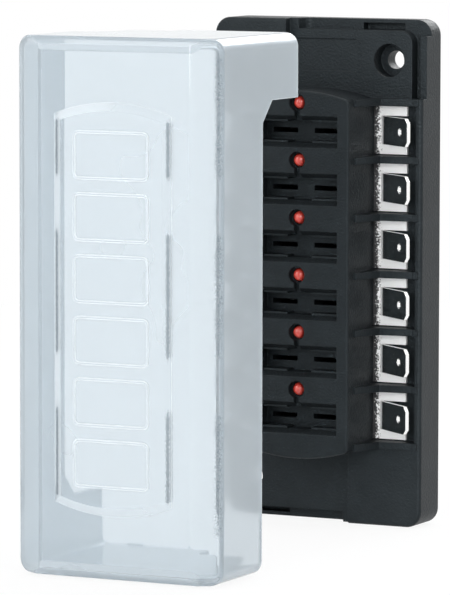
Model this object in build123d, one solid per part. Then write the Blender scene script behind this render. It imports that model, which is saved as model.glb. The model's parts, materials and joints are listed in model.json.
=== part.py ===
from build123d import *
import os
from math import cos, radians, sin

# A six-way blade fuse block with blown-fuse lamps and a clear lift-off cover.
# Millimetres. Every piece is drawn lying on its back, x across, y along the row and z out of the
# mounting face, and is stood upright at the end: the row then runs along Z, the front faces -Y.

# The row of circuits
circuit_count = 6
pitch = 13.0

# Moulded base
base_width = 52.0
base_length = 115.0
base_corner = 3.6
side_wall_height = 10.2
side_wall = 1.6
outer_edge_round = 0.8
bay_floor = 6.2
divider_thickness = 1.6
divider_post_rise = 0.4
divider_post_depth = 0.4
gusset_height = 18.0
gusset_ledge = 0.6
gusset_foot = 3.4
gusset_knee = 10.9

# Raised tower that carries the fuses
tower_half_width = 12.75
tower_height = 21.0
tower_end_margin = 0.8
tower_arch_rise = 2.0
tower_corner = 1.2
tower_edge_round = 0.5

# Ends of the base: plate, label recess, cover ledge with its pocket, and mounting hole
end_plate_height = 8.0
end_plate_side = 3.5
end_plate_corner = 3.0
end_ledge_height = 5.0
end_ledge_width = 2.4
end_lip_height = 7.7
end_block_edge = 8.0
end_ramp_length = 4.5
label_width = 19.6
label_height = 7.3
label_depth = 0.5
label_chamfer = 1.2
label_from_end = 8.2
mount_hole_radius = 2.1
mount_bore_radius = 3.75
mount_bore_floor = 4.0
mount_right = 16.8
mount_left = 18.4
mount_from_end = 9.2
ledge_pocket_start = 9.1
ledge_pocket_width = 10.3
ledge_pocket_depth = 2.6
ledge_pocket_lip = 0.9

# Fuse sockets
slot_length = 19.4
slot_width = 4.3
slot_depth = 5.0
slot_lead_width = 7.2
slot_lead_side = 0.3
slot_lead_depth = 1.6
slot_waist_length = 6.0
slot_waist_depth = 0.4
socket_web = 1.6
blade_slit_length = 6.2
blade_slit_width = 1.1
contact_centre = 5.2

# Lamps
lamp_radius = 1.5
lamp_recess = 0.4
lamp_clearance = 0.1
lamp_mouth_radius = 1.95
lamp_mouth_depth = 1.6
lamp_body_length = 4.0
lamp_flange_radius = 1.9
lamp_flange = 1.0
lamp_room_clearance = 0.3
lamp_lead_width = 0.5
lamp_lead_spread = 1.27
lamp_lead_gap = 0.4
key_slot_width = 1.3
key_slot_length = 2.4

# Wiring room behind the tower, closed by the back plate
back_plate_thickness = 1.6
back_plate_half_width = 14.0
back_plate_end = 5.0
back_plate_corner = 2.0
back_plate_clearance = 0.1
wiring_half_width = 11.0
wiring_depth = 2.9
wiring_end = 2.5
plate_screw_radius = 1.1
plate_screw_clearance = 0.15
plate_screw_length = 4.0
plate_screw_tip_room = 0.3
plate_screw_head_radius = 2.0
plate_screw_head = 0.9
plate_screw_sink = 0.05
plate_screw_slot = 0.5
plate_screw_slot_length = 2.8
plate_screw_from_side = 2.9
plate_screw_from_end = 2.9
resistor_radius = 0.9
resistor_length = 5.6
resistor_lead_width = 0.5
resistor_lead_length = 2.2
resistor_offset = 2.6

# Terminals: one bent strip each, from the fuse contact to the outer blade tab
metal_thickness = 0.8
terminal_width = 10.9
terminal_reach = 20.9
terminal_inner_reach = 9.0
terminal_fit = 0.1
tab_width = 6.35
tab_window_gap = 0.1
tab_root_distance = 14.8
tab_angle = 39.6
tab_length = 13.4
tab_hole_radius = 0.85
tab_hole_from_tip = 3.7
tab_chamfer = 1.1
tongue_width = 3.4
contact_leaf_thickness = 0.5
contact_leaf_width = 5.0
contact_foot_sink = 0.6
contact_straight = 2.5
contact_mouth = 1.7
contact_headroom = 0.8
contact_pinch = 0.25
contact_flare = 0.9
contact_room_side = 0.5
contact_room_end = 0.7

# Clear cover, drawn where it sits when it is closed
cover_width = 48.4
cover_length = 114.4
cover_wall = 1.5
cover_corner = 3.0
cover_front = 44.2
cover_shoulder = 40.9
cover_flat_half_width = 17.8
cover_edge_round = 1.0
cover_front_chamfer = 1.6
cover_seat_gap = 0.2
cover_rim = 22.4
cover_deep_reach = 13.8
cover_deep_start = 13.0
cover_deep_chamfer = 4.6
cover_block_gap = 0.4
panel_half_width = 13.8
panel_half_length = 41.0
panel_arch_rise = 2.6
panel_proud = 0.9
panel_bevel_drop = 0.8
panel_bevel_run = 1.8
label_frame_width = 17.8
label_frame_height = 10.2
label_frame_corner = 1.4
label_frame_line = 0.5
label_frame_proud = 0.3
centring_nib_width = 4.0
centring_nib_reach = 0.4
centring_nib_height = 1.2
centring_nib_crest = 0.5
cover_lift = 66.3

# How far a cutter runs past what it cuts, and an added piece into what carries it
cutter_run = 2.0
weld_depth = 0.2
rib_root = 1.0

# Worked out from the sizes above
half_width = base_width / 2
half_length = base_length / 2
row_half_length = circuit_count * pitch / 2
tower_half_length = row_half_length + tower_end_margin
wall_inside = half_width - side_wall
bay_half_height = (pitch - divider_thickness) / 2
plate_top = bay_floor + metal_thickness
socket_places = [(circuit_count / 2 - 0.5 - n) * pitch for n in range(circuit_count)]
divider_places = [row_half_length - n * pitch for n in range(circuit_count + 1)]
lamp_places = [y + pitch / 2 for y in socket_places]
plate_inside = half_width - end_plate_side
ledge_inside = half_length - end_ledge_width
mount_y = half_length - mount_from_end
mount_places = [(mount_right, mount_y), (-mount_left, -mount_y)]
label_y = half_length - label_from_end
plate_half_length = row_half_length + back_plate_end
wiring_half_length = row_half_length + wiring_end
wiring_top = back_plate_thickness + wiring_depth
socket_floor = tower_height - slot_depth
contact_room_top = socket_floor - socket_web
contact_top = contact_room_top - contact_headroom
lamp_top = tower_height - lamp_recess
lamp_foot = lamp_top - lamp_body_length
cover_half_width = cover_width / 2
cover_half_length = cover_length / 2
cover_low = end_ledge_height + cover_seat_gap

UPRIGHT = Rot(90, 0, 0)
HALF_TURN = Rot(0, 0, 180)
ON_FLOOR = (Align.CENTER, Align.CENTER, Align.MIN)


# Helpers


def both_ends(piece):
    """A feature and its twin at the other end, half a turn away about the mounting normal."""
    return [piece, HALF_TURN * piece]


def both_sides(piece):
    """A feature and its mirror image on the other side of the row."""
    return [piece, mirror(piece, about=Plane.YZ)]


def rectangle(x0, x1, y0, y1):
    """A rectangle between two corners, in the plane of the base."""
    return Pos((x0 + x1) / 2, (y0 + y1) / 2) * Rectangle(x1 - x0, y1 - y0)


def prism(sketch, z0, z1):
    """A sketch in the plane of the base, raised from z0 to z1."""
    return Pos(0, 0, z0) * extrude(sketch, z1 - z0)


def block(x0, x1, y0, y1, z0, z1):
    """A plain box between two corners."""
    return prism(rectangle(x0, x1, y0, y1), z0, z1)


def across_face(points):
    """A face with an (x, z) outline, standing at y = 0."""
    return make_face(Polyline(*[(x, 0, z) for x, z in points], close=True))


def across(points, y0, y1):
    """An (x, z) outline carried along y."""
    return Pos(0, y0, 0) * extrude(across_face(points), y1 - y0, dir=(0, 1, 0))


def along(points, x0, x1):
    """A (y, z) outline carried along x."""
    face = make_face(Polyline(*[(0, y, z) for y, z in points], close=True))
    return Pos(x0, 0, 0) * extrude(face, x1 - x0, dir=(1, 0, 0))


def top_edges(body):
    """The edges round the highest face."""
    return body.faces().sort_by(Axis.Z)[-1].edges()


def arched_outline(half_w, half_l, rise):
    """A rectangle whose two short ends bow outwards."""
    right = Line((half_w, -half_l), (half_w, half_l))
    top = ThreePointArc((half_w, half_l), (0, half_l + rise), (-half_w, half_l))
    left = Line((-half_w, half_l), (-half_w, -half_l))
    bottom = ThreePointArc((-half_w, -half_l), (0, -half_l - rise), (half_w, -half_l))
    return make_face([right, top, left, bottom])


# Base


def ramp_cut(y0, y1, low):
    """What leaves the end wall beside its full-height block: an S-shaped ramp down to low."""
    start = -end_block_edge
    end = start + end_ramp_length
    top = side_wall_height
    high = top + cutter_run
    far = half_width + cutter_run
    curve = Spline(
        (start, 0, top), ((start + end) / 2, 0, (top + low) / 2), (end, 0, low),
        tangents=[(1, 0, 0), (1, 0, 0)],
    )
    rest = Polyline(
        (end, 0, low), (far, 0, low), (far, 0, high), (start, 0, high), (start, 0, top)
    )
    return Pos(0, y0, 0) * extrude(make_face([curve, rest]), y1 - y0, dir=(0, 1, 0))


def ledge_cut(end_start):
    """The low ledge that the deep corner of the cover comes down on, round the end plate."""
    far_x = half_width + cutter_run
    ledge = rectangle(0, far_x, end_start, half_length + cutter_run)
    plate = RectangleRounded(2 * plate_inside, 2 * ledge_inside, end_plate_corner)
    lip = rectangle(wall_inside, far_x, 0, half_length - base_corner)
    return prism(ledge - plate - lip, end_ledge_height, side_wall_height + cutter_run)


def ledge_pocket():
    """A blind pocket in the ledge, below the nib of the cover."""
    return block(
        ledge_pocket_start, ledge_pocket_start + ledge_pocket_width,
        ledge_inside, half_length - ledge_pocket_lip,
        end_ledge_height - ledge_pocket_depth, side_wall_height,
    )


def label_recess():
    """A shallow recess with cut corners, left bare."""
    outline = chamfer(Rectangle(label_width, label_height).vertices(), label_chamfer)
    floor = end_plate_height - label_depth
    return Pos(0, label_y) * prism(outline, floor, side_wall_height + cutter_run)


def mount_cut(x, y):
    """A fixing hole with the counterbore for its screw head."""
    hole = prism(Circle(mount_hole_radius), -cutter_run, side_wall_height)
    bore = prism(Circle(mount_bore_radius), mount_bore_floor, side_wall_height + cutter_run)
    return Pos(x, y) * (hole + bore)


def base_body():
    """The outer tray of the base with its stepped ends, before the tower goes on."""
    body = extrude(RectangleRounded(base_width, base_length, base_corner), side_wall_height)
    body = fillet(top_edges(body), outer_edge_round)
    end_start = row_half_length + divider_thickness / 2
    far_x = half_width + cutter_run
    far_y = half_length + cutter_run
    high = side_wall_height + cutter_run
    stepped = [
        block(-end_block_edge, far_x, end_start, far_y, end_plate_height, high),
        block(wall_inside, far_x, end_start, half_length - base_corner, end_lip_height, high),
        ramp_cut(ledge_inside, far_y, end_ledge_height),
        ledge_cut(end_start),
        ledge_pocket(),
    ]
    for cut in stepped:
        for each in both_ends(cut):
            body -= each
    body -= label_recess()
    for x, y in mount_places:
        body -= mount_cut(x, y)
    return body


def bay(y):
    """The right-hand trough that holds one terminal."""
    return block(0, wall_inside, y - bay_half_height, y + bay_half_height, bay_floor, tower_height)


def divider(y):
    """The right-hand gusset between two bays, with a small post on the side wall."""
    low = y - divider_thickness / 2
    high = y + divider_thickness / 2
    root = tower_half_width - rib_root
    foot = bay_floor - rib_root
    gusset = across(
        [
            (root, foot), (root, gusset_height), (tower_half_width + gusset_ledge, gusset_height),
            (tower_half_width + gusset_foot, gusset_knee), (wall_inside, side_wall_height),
            (wall_inside, foot),
        ],
        low, high,
    )
    post = block(
        wall_inside - divider_post_depth, half_width - outer_edge_round, low, high,
        side_wall_height - rib_root, side_wall_height + divider_post_rise,
    )
    return gusset + post


def tower():
    """The raised block with bowed ends, rounded corners and a rounded front edge."""
    body = extrude(arched_outline(tower_half_width, tower_half_length, tower_arch_rise), tower_height)
    body = fillet(body.edges().filter_by(Axis.Z), tower_corner)
    return fillet(top_edges(body), tower_edge_round)


def socket_cut(y):
    """Lead-in, waisted fuse slot, two blade slits in its floor and the contact rooms behind."""
    waist_width = slot_width + 2 * slot_waist_depth
    slot = Rectangle(slot_length, slot_width) + Rectangle(slot_waist_length, waist_width)
    mouth = loft(
        [
            Pos(0, 0, tower_height)
            * Rectangle(slot_length + 2 * slot_lead_side, slot_lead_width),
            Pos(0, 0, tower_height - slot_lead_depth) * Rectangle(slot_length, waist_width),
        ]
    )
    cut = prism(slot, socket_floor, tower_height + cutter_run) + mouth
    slit = prism(
        Rectangle(blade_slit_length, blade_slit_width), wiring_top, socket_floor + weld_depth
    )
    room = prism(
        Rectangle(
            contact_leaf_width + 2 * contact_room_end, tongue_width + 2 * contact_room_side
        ),
        wiring_top - weld_depth, contact_room_top,
    )
    for side in (-1, 1):
        cut += Pos(side * contact_centre, 0) * (slit + room)
    return Pos(0, y, 0) * cut


def terminal_window(y):
    """The slit through which the right-hand terminal enters the tower, and its tongue's own."""
    half = terminal_width / 2 + terminal_fit
    tongue_half = tongue_width / 2 + terminal_fit
    top = plate_top + terminal_fit
    inner = terminal_inner_reach - terminal_fit
    wide = block(inner, tower_half_width + rib_root, y - half, y + half, bay_floor, top)
    narrow = block(contact_centre, inner + weld_depth, y - tongue_half, y + tongue_half, bay_floor, top)
    return wide + narrow


def lamp_cut(y):
    """The stepped bore of a lamp, the square room behind it and the keyhole slot below it."""
    bore = prism(Circle(lamp_radius + lamp_clearance), wiring_top, tower_height + cutter_run)
    low = tower_height - lamp_mouth_depth
    high = tower_height + cutter_run
    mouth = prism(Circle(lamp_mouth_radius), low, high)
    room_width = 2 * (lamp_flange_radius + lamp_room_clearance)
    room = prism(
        Rectangle(room_width, room_width), wiring_top - weld_depth, lamp_foot + lamp_flange
    )
    reach = lamp_mouth_radius + key_slot_length
    key = prism(rectangle(-key_slot_width / 2, key_slot_width / 2, -reach, 0), low, high)
    return Pos(0, y, 0) * (bore + mouth + room + key)


def plate_screw_places():
    """Centres of the four screws in the corners of the back plate."""
    x = back_plate_half_width - plate_screw_from_side
    y = plate_half_length - plate_screw_from_end
    return [(x, y), (-x, y), (x, -y), (-x, -y)]


def base_housing():
    """The moulded base, one piece: tray, dividers, tower, sockets and the room behind them."""
    body = base_body()
    for y in socket_places:
        for each in both_sides(bay(y)):
            body -= each
    for y in divider_places:
        for each in both_sides(divider(y)):
            body += each
    body += tower()
    body -= prism(
        RectangleRounded(2 * back_plate_half_width, 2 * plate_half_length, back_plate_corner),
        -cutter_run, back_plate_thickness,
    )
    body -= block(
        -wiring_half_width, wiring_half_width, -wiring_half_length, wiring_half_length,
        -cutter_run, wiring_top,
    )
    for y in socket_places:
        body -= socket_cut(y)
        for each in both_sides(terminal_window(y)):
            body -= each
    for y in lamp_places:
        body -= lamp_cut(y)
    screw_hole = prism(
        Circle(plate_screw_radius + plate_screw_clearance),
        -cutter_run, plate_screw_length + plate_screw_tip_room,
    )
    for x, y in plate_screw_places():
        body -= Pos(x, y) * screw_hole
    return body


# Back plate and its screws


def back_plate():
    """The flat plate that closes the wiring room, flush with the mounting face."""
    gap = back_plate_clearance
    outline = RectangleRounded(
        2 * (back_plate_half_width - gap), 2 * (plate_half_length - gap), back_plate_corner - gap
    )
    plate = extrude(outline, back_plate_thickness)
    hole = prism(
        Circle(plate_screw_radius + plate_screw_clearance), -cutter_run,
        back_plate_thickness + cutter_run,
    )
    seat = prism(
        Circle(plate_screw_head_radius + plate_screw_clearance), -cutter_run,
        plate_screw_head + plate_screw_sink,
    )
    for x, y in plate_screw_places():
        plate -= Pos(x, y) * (hole + seat)
    return plate


def back_plate_screws():
    """Four small screws with flat cross-slotted heads, flush in the back plate."""
    screw = Cylinder(plate_screw_head_radius, plate_screw_head, align=ON_FLOOR)
    screw += Cylinder(plate_screw_radius, plate_screw_length, align=ON_FLOOR)
    slot = Box(plate_screw_slot_length, plate_screw_slot, 2 * plate_screw_slot)
    screw -= slot + Rot(0, 0, 90) * slot
    return Compound([Pos(x, y, 0) * screw for x, y in plate_screw_places()])


# Terminals


def tab():
    """The outer blade tab in its own plane, with cut corners and the locking hole."""
    strip = rectangle(0, tab_length, -tab_width / 2, tab_width / 2)
    strip = chamfer(strip.vertices().group_by(Axis.X)[-1], tab_chamfer)
    strip -= Pos(tab_length - tab_hole_from_tip, 0) * Circle(tab_hole_radius)
    return extrude(strip, metal_thickness)


def contact(y):
    """Two spring leaves that rise from the tongue, close on the blade and flare at the mouth."""
    foot = (tongue_width - contact_leaf_thickness) / 2
    pinch = contact_pinch + contact_leaf_thickness / 2
    flare = contact_flare + contact_leaf_thickness / 2
    at_row = Plane(origin=(contact_centre, y, 0), x_dir=(0, 1, 0), z_dir=(1, 0, 0))
    leaves = []
    for side in (-1, 1):
        line = Polyline(
            (side * foot, plate_top - contact_foot_sink),
            (side * foot, plate_top + contact_straight),
            (side * pinch, contact_top - contact_mouth),
            (side * flare, contact_top),
        )
        strip = trace(line, contact_leaf_thickness)
        leaves.append(at_row * extrude(strip, contact_leaf_width / 2, both=True))
    return leaves[0] + leaves[1]


def terminal(y):
    """A right-hand terminal: plate with its lanced tab, and the fork that grips a fuse blade."""
    half = terminal_width / 2
    half_window = tab_width / 2 + tab_window_gap
    half_tongue = tongue_width / 2
    lean = radians(tab_angle)
    root = tab_root_distance
    plate = block(terminal_inner_reach, terminal_reach, y - half, y + half, bay_floor, plate_top)
    plate -= block(
        root, terminal_reach + cutter_run, y - half_window, y + half_window, 0, tower_height
    )
    tongue = block(
        contact_centre - contact_leaf_width / 2, terminal_inner_reach,
        y - half_tongue, y + half_tongue, bay_floor, plate_top,
    )
    knuckle = across(
        [
            (root - metal_thickness, bay_floor), (root, bay_floor),
            (root - metal_thickness * sin(lean), bay_floor + metal_thickness * cos(lean)),
            (root - metal_thickness, plate_top),
        ],
        y - tab_width / 2, y + tab_width / 2,
    )
    raised = Pos(root, y, bay_floor) * Rot(0, -tab_angle, 0) * tab()
    return plate + tongue + knuckle + raised + contact(y)


# Lamps and resistors


def lamp(y):
    """A small domed lamp with its flange and two square leads."""
    body = Pos(0, 0, lamp_foot) * Cylinder(
        lamp_radius, lamp_body_length - lamp_radius, align=ON_FLOOR
    )
    body += Pos(0, 0, lamp_top - lamp_radius) * Sphere(lamp_radius)
    body += Pos(0, 0, lamp_foot) * Cylinder(lamp_flange_radius, lamp_flange, align=ON_FLOOR)
    lead = Rectangle(lamp_lead_width, lamp_lead_width)
    for side in (-1, 1):
        body += Pos(side * lamp_lead_spread, 0) * prism(
            lead, back_plate_thickness + lamp_lead_gap, lamp_foot + weld_depth
        )
    return Pos(0, y, 0) * body


def resistor(y):
    """A small axial resistor lying on the back plate, its leads along the axis."""
    lead_run = resistor_length + 2 * resistor_lead_length
    shape = Cylinder(resistor_radius, resistor_length)
    shape += Box(resistor_lead_width, resistor_lead_width, lead_run)
    middle = back_plate_thickness + resistor_radius
    return Pos(0, y - resistor_offset, middle) * Rot(0, 90, 0) * shape


# Cover


def cover_form(inset):
    """The cover's outer form, or with the wall as inset the space inside it."""
    low = cover_low - (cutter_run + inset if inset else 0)
    outline = across_face(
        [
            (-cover_half_width, low), (cover_half_width, low),
            (cover_half_width, cover_shoulder), (cover_flat_half_width, cover_front),
            (-cover_flat_half_width, cover_front), (-cover_half_width, cover_shoulder),
        ]
    )
    if inset:
        outline = offset(outline, -inset, kind=Kind.INTERSECTION)
    half = cover_half_length - inset
    body = Pos(0, -half, 0) * extrude(outline, 2 * half, dir=(0, 1, 0))
    body = fillet(body.edges().filter_by(Axis.Z), cover_corner - inset)
    front = body.faces().sort_by(Axis.Z)[-1]
    body = chamfer(front.edges().filter_by(Axis.X), cover_front_chamfer)
    creases = body.edges().filter_by(Axis.Y).group_by(Axis.Z)
    return fillet(creases[-1] + creases[-2], cover_edge_round)


def deep_step(start, stop):
    """Outline of the wire space below the main rim, with a sloped end beside a deep wall."""
    low = -cutter_run
    return [
        (start, low), (stop, low), (stop, cover_rim - cover_deep_chamfer),
        (stop - cover_deep_chamfer, cover_rim), (start, cover_rim),
    ]


def cover_openings():
    """What is open at one side and one end of the cover, and the space over the base's block."""
    side_in = cover_half_width - cover_corner - cover_wall
    end_in = cover_half_length - cover_corner - cover_wall
    far_x = half_width + cutter_run
    far_y = half_length + cutter_run
    block_clear = -end_block_edge + end_ramp_length + cover_block_gap
    return [
        along(deep_step(-far_y, cover_half_length - cover_deep_reach), side_in, far_x),
        across(deep_step(-far_x, -cover_deep_start), end_in, far_y),
        block(
            -far_x, block_clear, ledge_inside - cutter_run, far_y,
            -cutter_run, side_wall_height + cover_block_gap,
        ),
    ]


def cover_shell():
    """The thin-walled cover without its panel and catches."""
    body = cover_form(0) - cover_form(cover_wall)
    for cut in cover_openings():
        for each in both_ends(cut):
            body -= each
    return body


def label_frame():
    """A fine raised line round one label place."""
    inside = RectangleRounded(
        label_frame_width - 2 * label_frame_line, label_frame_height - 2 * label_frame_line,
        label_frame_corner - label_frame_line,
    )
    return RectangleRounded(label_frame_width, label_frame_height, label_frame_corner) - inside


def window_panel():
    """The bevelled panel on the cover's front, with one label frame for each circuit."""
    outline = arched_outline(panel_half_width, panel_half_length, panel_arch_rise)
    panel_top = cover_front + panel_proud
    panel = prism(outline, cover_front - weld_depth, panel_top)
    panel = chamfer(top_edges(panel), panel_bevel_drop, panel_bevel_run)
    for y in socket_places:
        panel += Pos(0, y) * prism(
            label_frame(), panel_top - weld_depth, panel_top + label_frame_proud
        )
    return panel


def centring_nib():
    """A small nib inside a deep wall, which centres the cover on the end plate with some play."""
    middle = ledge_pocket_start + ledge_pocket_width / 2
    inner = cover_half_length - cover_wall
    root = inner + weld_depth
    top = cover_low + centring_nib_height
    return along(
        [
            (root, cover_low), (inner, cover_low),
            (inner - centring_nib_reach, cover_low + centring_nib_crest), (inner, top), (root, top),
        ],
        middle - centring_nib_width / 2, middle + centring_nib_width / 2,
    )


def clear_cover():
    """The whole cover, taken off and held in front of the base."""
    body = cover_shell() + window_panel()
    for nib in both_ends(centring_nib()):
        body += nib
    return Pos(0, 0, cover_lift) * body


def save(name, shape):
    """Stands a piece upright and writes it."""
    solids = (UPRIGHT * shape).solids()
    whole = solids[0] if len(solids) == 1 else Compound(list(solids))
    export_step(whole, f"parts/{name}.step")


os.makedirs("parts", exist_ok=True)
save("base_housing", base_housing())
save("back_plate", back_plate())
save("back_plate_screws", back_plate_screws())
save("clear_cover", clear_cover())
for number, y in enumerate(socket_places, start=1):
    right = terminal(y)
    save(f"terminal_right_{number}", right)
    save(f"terminal_left_{number}", mirror(right, about=Plane.YZ))
for number, y in enumerate(lamp_places, start=1):
    save(f"lamp_{number}", lamp(y))
    save(f"resistor_{number}", resistor(y))
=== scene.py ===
import json
from math import pi, radians

import bmesh
import bpy
from mathutils import Matrix, Vector


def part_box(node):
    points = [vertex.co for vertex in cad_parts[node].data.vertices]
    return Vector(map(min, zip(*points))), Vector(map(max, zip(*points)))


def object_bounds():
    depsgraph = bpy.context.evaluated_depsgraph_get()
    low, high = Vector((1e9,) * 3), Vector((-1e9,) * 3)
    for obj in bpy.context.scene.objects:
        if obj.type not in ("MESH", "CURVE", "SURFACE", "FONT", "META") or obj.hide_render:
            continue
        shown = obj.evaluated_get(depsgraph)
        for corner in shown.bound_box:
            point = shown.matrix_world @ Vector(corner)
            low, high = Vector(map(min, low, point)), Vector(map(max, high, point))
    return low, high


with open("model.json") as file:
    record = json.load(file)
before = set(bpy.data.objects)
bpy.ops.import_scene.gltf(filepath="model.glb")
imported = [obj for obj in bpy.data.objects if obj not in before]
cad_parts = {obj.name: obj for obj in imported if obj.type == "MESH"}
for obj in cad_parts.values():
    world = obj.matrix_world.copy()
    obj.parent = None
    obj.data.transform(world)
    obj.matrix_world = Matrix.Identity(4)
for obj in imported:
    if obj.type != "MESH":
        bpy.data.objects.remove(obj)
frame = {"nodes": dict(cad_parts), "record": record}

# A blade fuse block with its clear cover taken off and stood in front of it.
# Metres, in the part's own frame: +Z runs up the row of circuits and -Y is the front.
cad_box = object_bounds()
cover_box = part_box("clear_cover")

MM = 0.001

# Camera, fitted to the photograph's frame
picture_height_px = 595
focal_px = 4799.6
sensor_mm = 36.0
camera_place_mm = (463.07, -996.38, 101.06)
camera_yaw = radians(26.253)
camera_pitch = radians(-5.616)
camera_roll = radians(0.093)
nearest_seen = 0.05
furthest_seen = 20

# Each lamp's place, its width and height, and its power
studio_lamps = {
    "key": ((-0.7, -0.9, 0.5), (0.6, 0.6), 2.5),
    "front": ((0.2, -1.15, 0.2), (0.4, 0.4), 7.4),
    "side": ((0.7, -0.7, 0.4), (0.5, 0.5), 2.4),
    "top": ((0.1, 0.1, 0.9), (0.7, 0.5), 3.1),
    "back": ((0.0, 0.95, 0.45), (0.6, 0.4), 4.0),
}
lamp_aim = (0, -0.03, 0)
ambient_strength = 0.65
pure_white = (1, 1, 1, 1)

# Floor: its share of plain white near the object, and the distances over which it turns all white
floor_half_size = 1.5
floor_drop = 0.0002
floor_glow = 0.9
shadow_reach = (0.15, 0.5)
floor_grain_size = 0.03
floor_roughness = (0.7, 0.8)
floor_dark = (0.86, 0.87, 0.88, 1)
floor_pale = (0.9, 0.905, 0.91, 1)

# Where a cloudy noise is at its darkest and palest colour, and how finely edges are softened
cloud_stops = (0.3, 0.7)
edge_samples = 6

# Black moulding: fine grain, a larger drift of tone, and softened edges
moulded_grain_size = 0.0005
moulded_grain_height = 0.00015
moulded_roughness = (0.38, 0.54)
moulded_cloud_size = 0.006
moulded_cloud_stops = (0.3, 0.75)
moulded_edge = 0.0003
moulded_dark = (0.0055, 0.007, 0.0082, 1)
moulded_pale = (0.010, 0.0125, 0.014, 1)
moulded_sheen = (0.8, 0.93, 1.0, 1)

# Clear cover: its tint, its milky haze, the painted highlight on its edges and the painted dark
# refraction lines
cover_tint = (0.80, 0.86, 0.90, 1)
haze_tint = (0.52, 0.585, 0.63, 1)
painted_highlight_tint = (0.92, 0.95, 0.96, 1)
painted_refraction_tint = (0.12, 0.15, 0.17, 1)
cover_haze = 0.25
haze_in_clouds = 0.12
haze_aslant = 0.3
haze_on_edges = 0.5
haze_in_painted_refraction = 0.4
haze_cloud_size = 0.03
cover_polish_size = 0.02
cover_roughness = (0.04, 0.10)
haze_roughness = 0.1
ripple_size = 0.012
ripple_height = 0.0002
ripple_strength = 0.25
cover_edge = 0.00045
painted_highlight_strength = 2.0
edge_threshold = 0.03

# Painted dark refraction in the cover: speckled lines along the panel's bevels and its right front
# corner
bevel_line = 0.0131
bevel_line_half = 0.0009
bevel_line_end = 0.0405
corner_line = 0.0233
corner_line_half = 0.0019
corner_line_weight = 0.7
line_depth = 0.0056
line_front = -cover_box[0].y - line_depth
line_density = 0.8
line_fade = 9
dash_length = 0.0375
dash_break = 0.0223
dash_share = 0.8
dash_sharpness = 3
speck_size = 0.00026
speck_contrast = 3.2
speck_level = 0.82

# Tin plate: the strip is satin up to the first height and the tab polished from the second,
# and both carry painted shade and a painted reflection of the dark tower wall out to the first
# distance from the middle of the row, speckled away to bright tin by the second
strip_height = 0.0073
tab_height = 0.0079
painted_shade_to = 0.0122
painted_shade_gone_from = 0.0160
tin_in_painted_shade = (0.03, 0.03, 0.032, 1)
tin_bright = (0.97, 0.97, 0.965, 1)
tin_contrast = 5
tin_level = 0.85
tin_speckle_size = 0.0004
tin_cloud_size = 0.0035
satin_metallic = 0.08
satin_roughness = (0.42, 0.54)
tab_polish = 0.36
tin_ripple_size = 0.0006
tin_ripple_height = 0.00001
tin_ripple_strength = 0.4
sheared_edge = 0.00012

# Lamps, resistors and screws
lamp_cloud_size = 0.0015
lamp_roughness = (0.08, 0.16)
lamp_dark = (0.58, 0.04, 0.028, 1)
lamp_pale = (0.78, 0.085, 0.06, 1)
coat_cloud_size = 0.001
coat_roughness = (0.25, 0.45)
coat_dark = (0.48, 0.36, 0.2, 1)
coat_pale = (0.62, 0.5, 0.3, 1)
zinc_cloud_size = 0.0008
zinc_roughness = (0.25, 0.45)
zinc_dark = (0.55, 0.56, 0.58, 1)
zinc_pale = (0.72, 0.73, 0.74, 1)


class Value:
    """A number on a surface; arithmetic with it adds Math nodes."""

    def __init__(self, finish, socket):
        self.finish = finish
        self.socket = socket

    def combine(self, operation, first, second):
        return self.finish.node("ShaderNodeMath", {"operation": operation}, {0: first, 1: second})

    def __add__(self, other):
        return self.combine("ADD", self, other)

    def __sub__(self, other):
        return self.combine("SUBTRACT", self, other)

    def __rsub__(self, other):
        return self.combine("SUBTRACT", other, self)

    def __mul__(self, other):
        return self.combine("MULTIPLY", self, other)

    def __abs__(self):
        return self.finish.node("ShaderNodeMath", {"operation": "ABSOLUTE"}, {0: self})

    def either(self, other):
        return self.combine("MAXIMUM", self, other)

    __radd__ = __add__
    __rmul__ = __mul__


def spread(amount, low, high):
    """A number that runs from low to high as the amount goes from 0 to 1."""
    return low + (high - low) * amount


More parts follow.
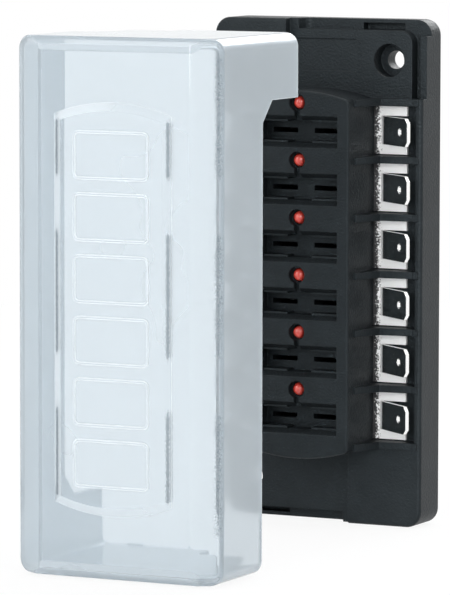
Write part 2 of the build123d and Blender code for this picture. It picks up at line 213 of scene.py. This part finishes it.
class Finish:
    """The nodes of one material, or of the world, with the method that adds every other node."""

    def __init__(self, owner, shader, **constants):
        owner.use_nodes = True
        self.owner = owner
        self.tree = owner.node_tree
        self.shader = self.tree.nodes[shader]
        for name, value in constants.items():
            self.shader.inputs[name.replace("_", " ")].default_value = value

    def node(self, kind, settings=None, inputs=None, output=0):
        made = self.tree.nodes.new(kind)
        for key, value in (settings or {}).items():
            if key == "stops":
                for stop, (place, colour) in zip(made.color_ramp.elements, value):
                    stop.position = place
                    stop.color = colour
            else:
                setattr(made, key, value)
        for key, value in (inputs or {}).items():
            self.feed(made.inputs[key], value)
        return Value(self, made.outputs[output])

    def feed(self, socket, value):
        if isinstance(value, Value):
            self.tree.links.new(value.socket, socket)
        else:
            socket.default_value = value

    def vary(self, **sockets):
        """Feeds sockets of the shader with what changes over the surface."""
        for name, value in sockets.items():
            self.feed(self.shader.inputs[name.replace("_", " ")], value)

    def place(self):
        return self.node("ShaderNodeTexCoord", output="Object")

    def coordinate(self, axis):
        return self.node("ShaderNodeSeparateXYZ", {}, {"Vector": self.place()}, axis)

    def out_of_wall(self):
        """Height above the mounting face."""
        return -1 * self.coordinate("Y")

    def aside(self):
        """Distance from the middle of the row."""
        return abs(self.coordinate("X"))

    def clamp(self, value):
        return self.node("ShaderNodeClamp", {}, {"Value": value})

    def rise(self, value, low, high):
        """0 up to the low value, 1 from the high one."""
        limits = {"Value": value, "From Min": low, "From Max": high}
        return self.node("ShaderNodeMapRange", {"clamp": True}, limits)

    def band(self, value, middle, half):
        """1 on the middle of a band, 0 outside it."""
        return self.clamp(1 - (1 / half) * abs(value - middle))

    def noise(self, size, detail=2.0):
        inputs = {"Vector": self.place(), "Scale": 1 / size, "Detail": detail}
        return self.node("ShaderNodeTexNoise", {}, inputs)

    def ramp(self, amount, dark, pale, stops=(0.0, 1.0)):
        """A colour that turns from dark at the first stop to pale at the second."""
        return self.node("ShaderNodeValToRGB", {"stops": zip(stops, (dark, pale))}, {"Fac": amount})

    def softened(self, radius):
        """The surface's direction, with its edges rounded to a radius."""
        return self.node("ShaderNodeBevel", {"samples": edge_samples}, {"Radius": radius})

    def sharp_edges(self, width):
        """Just under 0 on a flat stretch, and more at an edge sharper than the width."""
        true = self.node("ShaderNodeNewGeometry", output="Normal")
        both = {0: self.softened(width), 1: true}
        same = self.node("ShaderNodeVectorMath", {"operation": "DOT_PRODUCT"}, both, "Value")
        return 1 - same - edge_threshold

    def bump(self, height, distance, strength, edge=0.0):
        """Fine relief, over edges that are softened by the given radius."""
        inputs = {"Strength": strength, "Distance": distance, "Height": height}
        if edge:
            inputs["Normal"] = self.softened(edge)
        self.vary(Normal=self.node("ShaderNodeBump", {}, inputs))

    def cloud_over(self, cloud, dark, pale, roughness):
        """Colour and roughness that drift together over the surface."""
        colour = self.ramp(cloud, dark, pale, cloud_stops)
        self.vary(Base_Color=colour, Roughness=spread(cloud, *roughness))

    def cover_with(self, amount, layer):
        """Shows a second shader over the first one by an amount."""
        first = Value(self, self.shader.outputs[0])
        mixed = self.node("ShaderNodeMixShader", {}, {0: amount, 1: first, 2: layer})
        self.feed(self.tree.nodes["Material Output"].inputs["Surface"], mixed)

    def looked_at(self):
        """1 where a ray comes from the camera, straight, mirrored or through a clear piece."""
        straight, mirrored, through = (
            self.node("ShaderNodeLightPath", output=ray)
            for ray in ("Is Camera Ray", "Is Glossy Ray", "Is Transmission Ray")
        )
        return straight.either(mirrored).either(through)


def new_finish(name, **constants):
    return Finish(bpy.data.materials.new(name), "Principled BSDF", **constants)


def black_moulding():
    """Spark-eroded black plastic: fine grain, slightly paler in places."""
    plastic = new_finish(
        "black_moulding", IOR=1.46, Specular_IOR_Level=0.3, Specular_Tint=moulded_sheen
    )
    grain = plastic.noise(moulded_grain_size, detail=3.0)
    cloud = plastic.noise(moulded_cloud_size, detail=3.0)
    plastic.vary(
        Base_Color=plastic.ramp(cloud, moulded_dark, moulded_pale, moulded_cloud_stops),
        Roughness=spread(grain, *moulded_roughness),
    )
    plastic.bump(grain, moulded_grain_height, 1.0, moulded_edge)
    return plastic.owner


def painted_refraction_lines(cover):
    """Painted dark refraction: speckled lines on the cover's front, broken into dashes along the
    row.
    """
    across = cover.coordinate("X")
    up = cover.coordinate("Z")
    panel = cover.clamp((bevel_line_end - abs(up)) * (1 / MM))
    bevels = cover.band(abs(across), bevel_line, bevel_line_half) * panel
    corner = corner_line_weight * cover.band(across, corner_line, corner_line_half)
    turn = (2 * pi / dash_length) * (up - dash_break)
    wave = cover.node("ShaderNodeMath", {"operation": "COSINE"}, {0: turn})
    dashes = cover.clamp(dash_sharpness * (dash_share - wave))
    front = cover.rise(cover.out_of_wall(), line_front, line_front + MM)
    lines = (bevels + corner) * dashes * front
    specks = line_density * lines + cover.noise(speck_size) - speck_level
    return cover.clamp(speck_contrast * specks) * cover.clamp(line_fade * lines)


def clear_moulding():
    """Clear plastic with a pale blue cast: a little milky in its thickness, with a painted
    highlight on its edges and painted dark refraction lines.
    """
    cover = new_finish(
        "clear_moulding", Base_Color=cover_tint, IOR=1.42, Transmission_Weight=1.0
    )
    cover.vary(Roughness=spread(cover.noise(cover_polish_size), *cover_roughness))
    cover.bump(cover.noise(ripple_size, detail=1.0), ripple_height, ripple_strength)
    # Painted highlight: sharp edges get a paler haze colour and more haze
    painted_highlight = cover.clamp(painted_highlight_strength * cover.sharp_edges(cover_edge))
    # Painted dark refraction: speckled dark lines in the haze colour, with more haze on them
    painted_refraction = painted_refraction_lines(cover)
    pale = cover.ramp(painted_highlight, haze_tint, painted_highlight_tint)
    tinted = cover.node(
        "ShaderNodeMix", {"data_type": "RGBA"}, {0: painted_refraction, 6: pale, 7: painted_refraction_tint}, 2
    )
    haze = cover.node(
        "ShaderNodeBsdfPrincipled", {},
        {"Base Color": tinted, "Roughness": haze_roughness, "IOR": 1.45},
    )
    cloud = cover.noise(haze_cloud_size)
    aslant = cover.node("ShaderNodeLayerWeight", output="Facing")
    milky = cover_haze + haze_in_clouds * cloud + haze_aslant * aslant
    cover.cover_with(cover.clamp(milky + haze_on_edges * painted_highlight + haze_in_painted_refraction * painted_refraction), haze)
    return cover.owner


def tinned_metal():
    """Tin plate: satin on the flat of the strip, polished on the tab, with painted shade and a
    painted reflection of the dark tower wall near the middle of the row.
    """
    tin = new_finish("tinned_metal")
    cloud = tin.noise(tin_cloud_size, detail=4.0)
    on_tab = tin.rise(tin.out_of_wall(), strip_height, tab_height)
    # Painted shade and painted reflection of the dark tower wall: dark tin near the middle of the
    # row, speckled over to bright tin further out
    clear_of_painted_shade = tin.rise(tin.aside(), painted_shade_to, painted_shade_gone_from)
    unshaded_share = tin.clamp(tin_contrast * (clear_of_painted_shade + tin.noise(tin_speckle_size) - tin_level))
    tin.vary(
        Base_Color=tin.ramp(unshaded_share, tin_in_painted_shade, tin_bright),
        Metallic=spread(on_tab, satin_metallic, 1),
        Roughness=spread(cloud, *satin_roughness) - tab_polish * on_tab,
    )
    tin.bump(tin.noise(tin_ripple_size), tin_ripple_height, tin_ripple_strength, sheared_edge)
    return tin.owner


def red_lamp():
    """Tinted lamp body, glossy."""
    lamp = new_finish("red_lamp", Transmission_Weight=0.1, IOR=1.53, Coat_Weight=0.6)
    lamp.cloud_over(lamp.noise(lamp_cloud_size), lamp_dark, lamp_pale, lamp_roughness)
    return lamp.owner


def resistor_coat():
    """Tan lacquer over the body and leads of a resistor."""
    coat = new_finish("resistor_coat", IOR=1.5)
    coat.cloud_over(coat.noise(coat_cloud_size), coat_dark, coat_pale, coat_roughness)
    return coat.owner


def plated_screw():
    """Zinc plate, slightly uneven."""
    zinc = new_finish("plated_screw", Metallic=1.0)
    cloud = zinc.noise(zinc_cloud_size, detail=3.0)
    zinc.cloud_over(cloud, zinc_dark, zinc_pale, zinc_roughness)
    return zinc.owner


def pale_floor():
    """A white floor that keeps a soft shadow of the object."""
    floor = new_finish("pale_floor")
    grain = floor.noise(floor_grain_size, detail=3.0)
    floor.vary(
        Base_Color=floor.ramp(grain, floor_dark, floor_pale),
        Roughness=spread(grain, *floor_roughness),
    )
    distance = floor.node(
        "ShaderNodeVectorMath", {"operation": "LENGTH"}, {0: floor.place()}, "Value"
    )
    white_share = spread(floor.rise(distance, *shadow_reach), floor_glow, 1)
    glow = floor.node("ShaderNodeEmission", {}, {"Color": pure_white, "Strength": 1.0})
    floor.cover_with(white_share * floor.looked_at(), glow)
    return floor.owner


def dress_nodes():
    """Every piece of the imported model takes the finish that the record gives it."""
    makers = (black_moulding, clear_moulding, tinned_metal, red_lamp, resistor_coat, plated_screw)
    finishes = {maker.__name__: maker() for maker in makers}
    for part in frame["record"]["subparts"]:
        piece = frame["nodes"][part["node"]]
        piece.data.materials.clear()
        piece.data.materials.append(finishes[part["material_slot"]])


def add_object(name, data):
    made = bpy.data.objects.new(name, data)
    bpy.context.scene.collection.objects.link(made)
    return made


def lay_floor():
    plane = bmesh.new()
    low = Matrix.Translation((0, 0, cad_box[0].z - floor_drop))
    bmesh.ops.create_grid(plane, x_segments=1, y_segments=1, size=floor_half_size, matrix=low)
    mesh = bpy.data.meshes.new("floor")
    plane.to_mesh(mesh)
    plane.free()
    mesh.materials.append(pale_floor())
    add_object("floor", mesh)


def surround_with_light():
    """Soft grey light from all round, with a white background where it is looked at."""
    world = bpy.data.worlds.new("studio")
    studio = Finish(world, "Background", Color=pure_white)
    studio.vary(Strength=spread(studio.looked_at(), ambient_strength, 1))
    bpy.context.scene.world = world


def hang_lamps():
    for name, (place, (width, height), power) in studio_lamps.items():
        data = bpy.data.lights.new(name, "AREA")
        data.shape = "RECTANGLE"
        data.size = width
        data.size_y = height
        data.energy = power
        lamp = add_object(name, data)
        lamp.location = place
        lamp.rotation_euler = (Vector(lamp_aim) - Vector(place)).to_track_quat("-Z", "Y").to_euler()


def set_camera():
    data = bpy.data.cameras.new("camera")
    data.sensor_width = sensor_mm
    data.lens = focal_px * sensor_mm / picture_height_px
    data.clip_start = nearest_seen
    data.clip_end = furthest_seen
    made = add_object("camera", data)
    turn = (
        Matrix.Rotation(camera_yaw, 4, "Z")
        @ Matrix.Rotation(radians(90) + camera_pitch, 4, "X")
        @ Matrix.Rotation(camera_roll, 4, "Z")
    )
    made.matrix_world = Matrix.Translation(Vector(camera_place_mm) * MM) @ turn
    bpy.context.scene.camera = made


set_camera()
dress_nodes()
lay_floor()
surround_with_light()
hang_lamps()
bpy.context.scene.view_settings.view_transform = "Standard"
